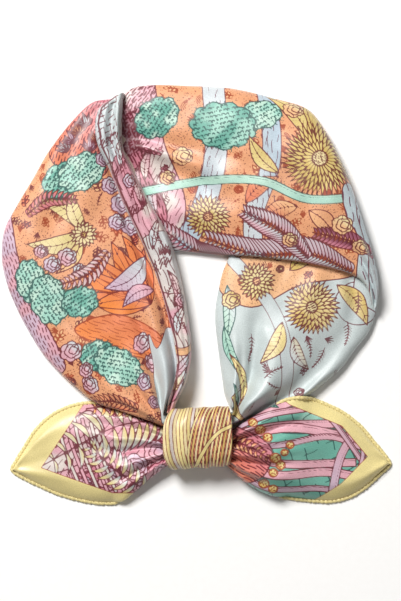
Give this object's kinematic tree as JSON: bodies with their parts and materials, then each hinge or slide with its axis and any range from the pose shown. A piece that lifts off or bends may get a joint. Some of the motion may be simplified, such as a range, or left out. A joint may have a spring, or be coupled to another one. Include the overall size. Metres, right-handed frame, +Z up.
{
  "type": "tied silk square scarf",
  "caption": "Small printed silk square folded on the bias into a band, wound into a neck loop and knotted, with leaf-shaped corner tails, lying flat.",
  "frame": {"origin": "middle of the scarf's outline, on the table that it lies on", "axes": "+Z up from the table, +Y away from the knot along the length of the loop, +X towards the right tail"},
  "size_m": [0.211, 0.228, 0.0209],
  "materials": {
    "printed_silk": "silk satin printed in peach, aqua, lilac and grey with maroon line work, soft sheen",
    "knot_silk": "the same satin, gold stripes with fine maroon lines, pulled tight over the knot",
    "tail_silk": "the same satin, corner print in rose and teal inside a plain yellow border",
    "hem_silk": "yellow satin rolled over and stitched, soft sheen"
  },
  "bodies": {
    "root": {"left_arm": "printed_silk", "inner_roll": "printed_silk", "back_stretch": "printed_silk", "right_arm": "printed_silk", "left_tail": "tail_silk", "right_tail": "tail_silk", "left_tail_hem": "hem_silk", "right_tail_hem": "hem_silk", "knot_wrap": "knot_silk"}
  },
  "joints": []
}
